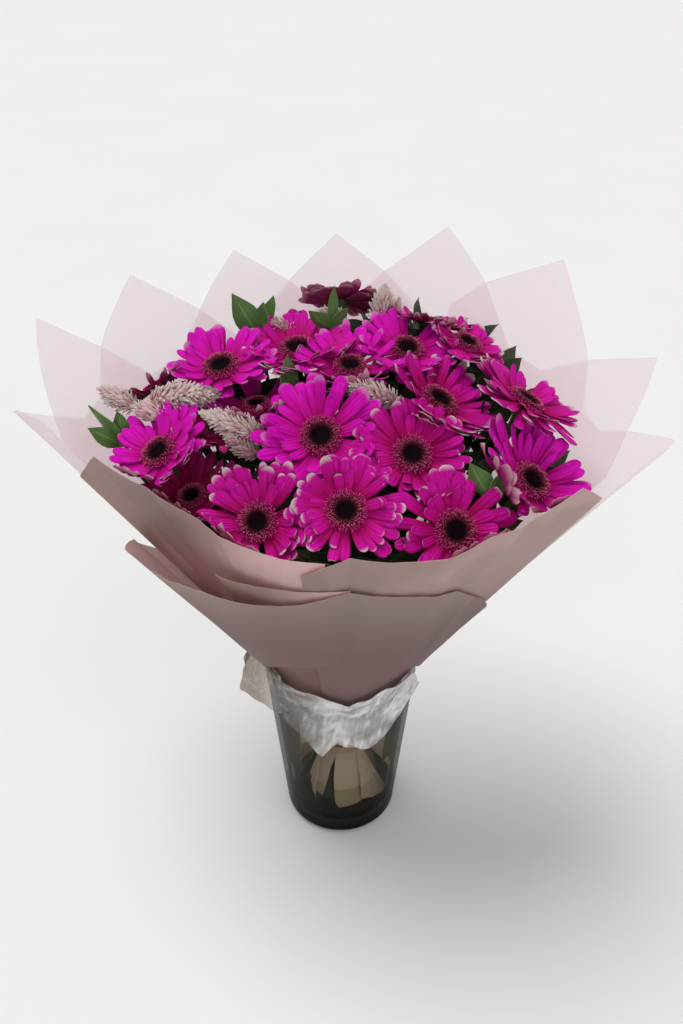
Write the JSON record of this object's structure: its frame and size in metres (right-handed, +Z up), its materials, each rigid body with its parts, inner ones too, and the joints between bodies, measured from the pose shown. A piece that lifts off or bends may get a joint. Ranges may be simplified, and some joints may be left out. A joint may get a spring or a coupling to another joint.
{
  "type": "gerberas in a glass vase",
  "caption": "Film-wrapped bouquet of pink gerberas with leaves and feathery spikes, standing in a tapered glass vase with a little water.",
  "frame": {"origin": "middle of the flat underside of the vase", "axes": "+Z up along the vase's axis, -Y the side of the bouquet with the low front of the film, +X to the right as that side is seen"},
  "size_m": [0.5721, 0.3971, 0.5702],
  "materials": {
    "glass": "gloss",
    "water": "gloss",
    "stem": "satin",
    "tie": "matte",
    "back_film": "satin",
    "front_film": "satin",
    "clear_film": "gloss",
    "petal": "matte",
    "dark_petal": "matte",
    "disc": "matte",
    "leaf": "satin",
    "feather": "matte"
  },
  "bodies": {
    "root": {"glass_vase": "glass", "water": "water", "stem_bunch": "stem", "tie": "tie", "film_back_left_outer": "back_film", "film_back_left_inner": "back_film", "film_back_middle": "back_film", "film_back_right_inner": "back_film", "film_back_right_outer": "back_film", "film_front_left": "front_film", "film_front_right": "front_film", "film_fold": "front_film", "film_collar": "front_film", "clear_wrap": "clear_film", "gerbera_front_middle_petals": "petal", "gerbera_front_middle_disc": "disc", "gerbera_front_left_petals": "petal", "gerbera_front_left_disc": "disc", "gerbera_front_right_petals": "petal", "gerbera_front_right_disc": "disc", "gerbera_centre_left_petals": "petal", "gerbera_centre_left_disc": "disc", "gerbera_centre_right_petals": "petal", "gerbera_centre_right_disc": "disc", "gerbera_centre_back_petals": "petal", "gerbera_centre_back_disc": "disc", "gerbera_right_back_petals": "petal", "gerbera_right_back_disc": "disc", "gerbera_right_front_petals": "petal", "gerbera_right_front_disc": "disc", "gerbera_left_back_petals": "petal", "gerbera_left_back_disc": "disc", "gerbera_left_front_petals": "petal", "gerbera_left_front_disc": "disc", "gerbera_back_far_left_petals": "petal", "gerbera_back_far_left_disc": "disc", "gerbera_back_left_petals": "petal", "gerbera_back_left_disc": "disc", "gerbera_back_middle_petals": "petal", "gerbera_back_middle_disc": "disc", "gerbera_back_right_petals": "petal", "gerbera_back_right_disc": "disc", "gerbera_back_far_right_petals": "petal", "gerbera_back_far_right_disc": "disc", "gerbera_rear_middle_petals": "dark_petal", "gerbera_rear_right_petals": "dark_petal", "gerbera_low_left_petals": "dark_petal", "gerbera_low_middle_petals": "dark_petal", "gerbera_rear_left_petals": "dark_petal", "ruscus_left": "leaf", "ruscus_back_left": "leaf", "ruscus_back": "leaf", "ruscus_middle": "leaf", "ruscus_right": "leaf", "celosia_left": "feather", "celosia_middle_left": "feather", "celosia_middle": "feather", "celosia_back_middle": "feather", "celosia_back_left": "feather", "celosia_back_right": "feather"}
  },
  "joints": []
}
